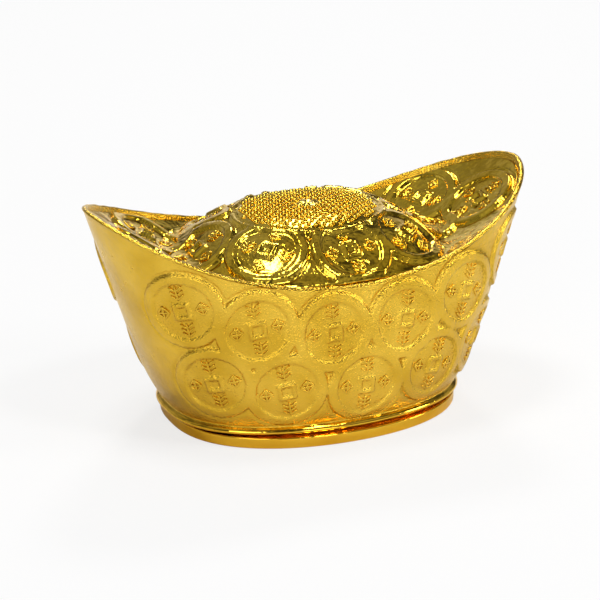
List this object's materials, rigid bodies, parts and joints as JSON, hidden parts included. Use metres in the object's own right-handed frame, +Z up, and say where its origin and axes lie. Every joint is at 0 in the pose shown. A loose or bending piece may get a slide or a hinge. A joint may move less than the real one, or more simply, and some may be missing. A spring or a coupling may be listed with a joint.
{
  "type": "feng shui ingot",
  "caption": "Boat-shaped gold ingot ornament with raised pointed ends, a central dome and rows of cash coins in relief, resting on an oval foot.",
  "frame": {"origin": "middle of the foot, on the surface that the ingot stands on", "axes": "+Z up, +X along the ingot towards its right-hand tip in the picture, -Y towards the viewer"},
  "size_m": [0.0834, 0.0452, 0.042],
  "materials": {
    "satin_gold": "gold plate over cast metal, satin with a fine orange-peel grain",
    "mirror_gold": "gold plate, mirror polished",
    "polished_gold": "gold plate, polished",
    "screw_steel": "plain turned steel"
  },
  "bodies": {
    "root": {"hull": "satin_gold", "deck": "mirror_gold", "base_plate": "polished_gold", "tie_screw_left": "screw_steel", "tie_screw_right": "screw_steel"}
  },
  "joints": []
}
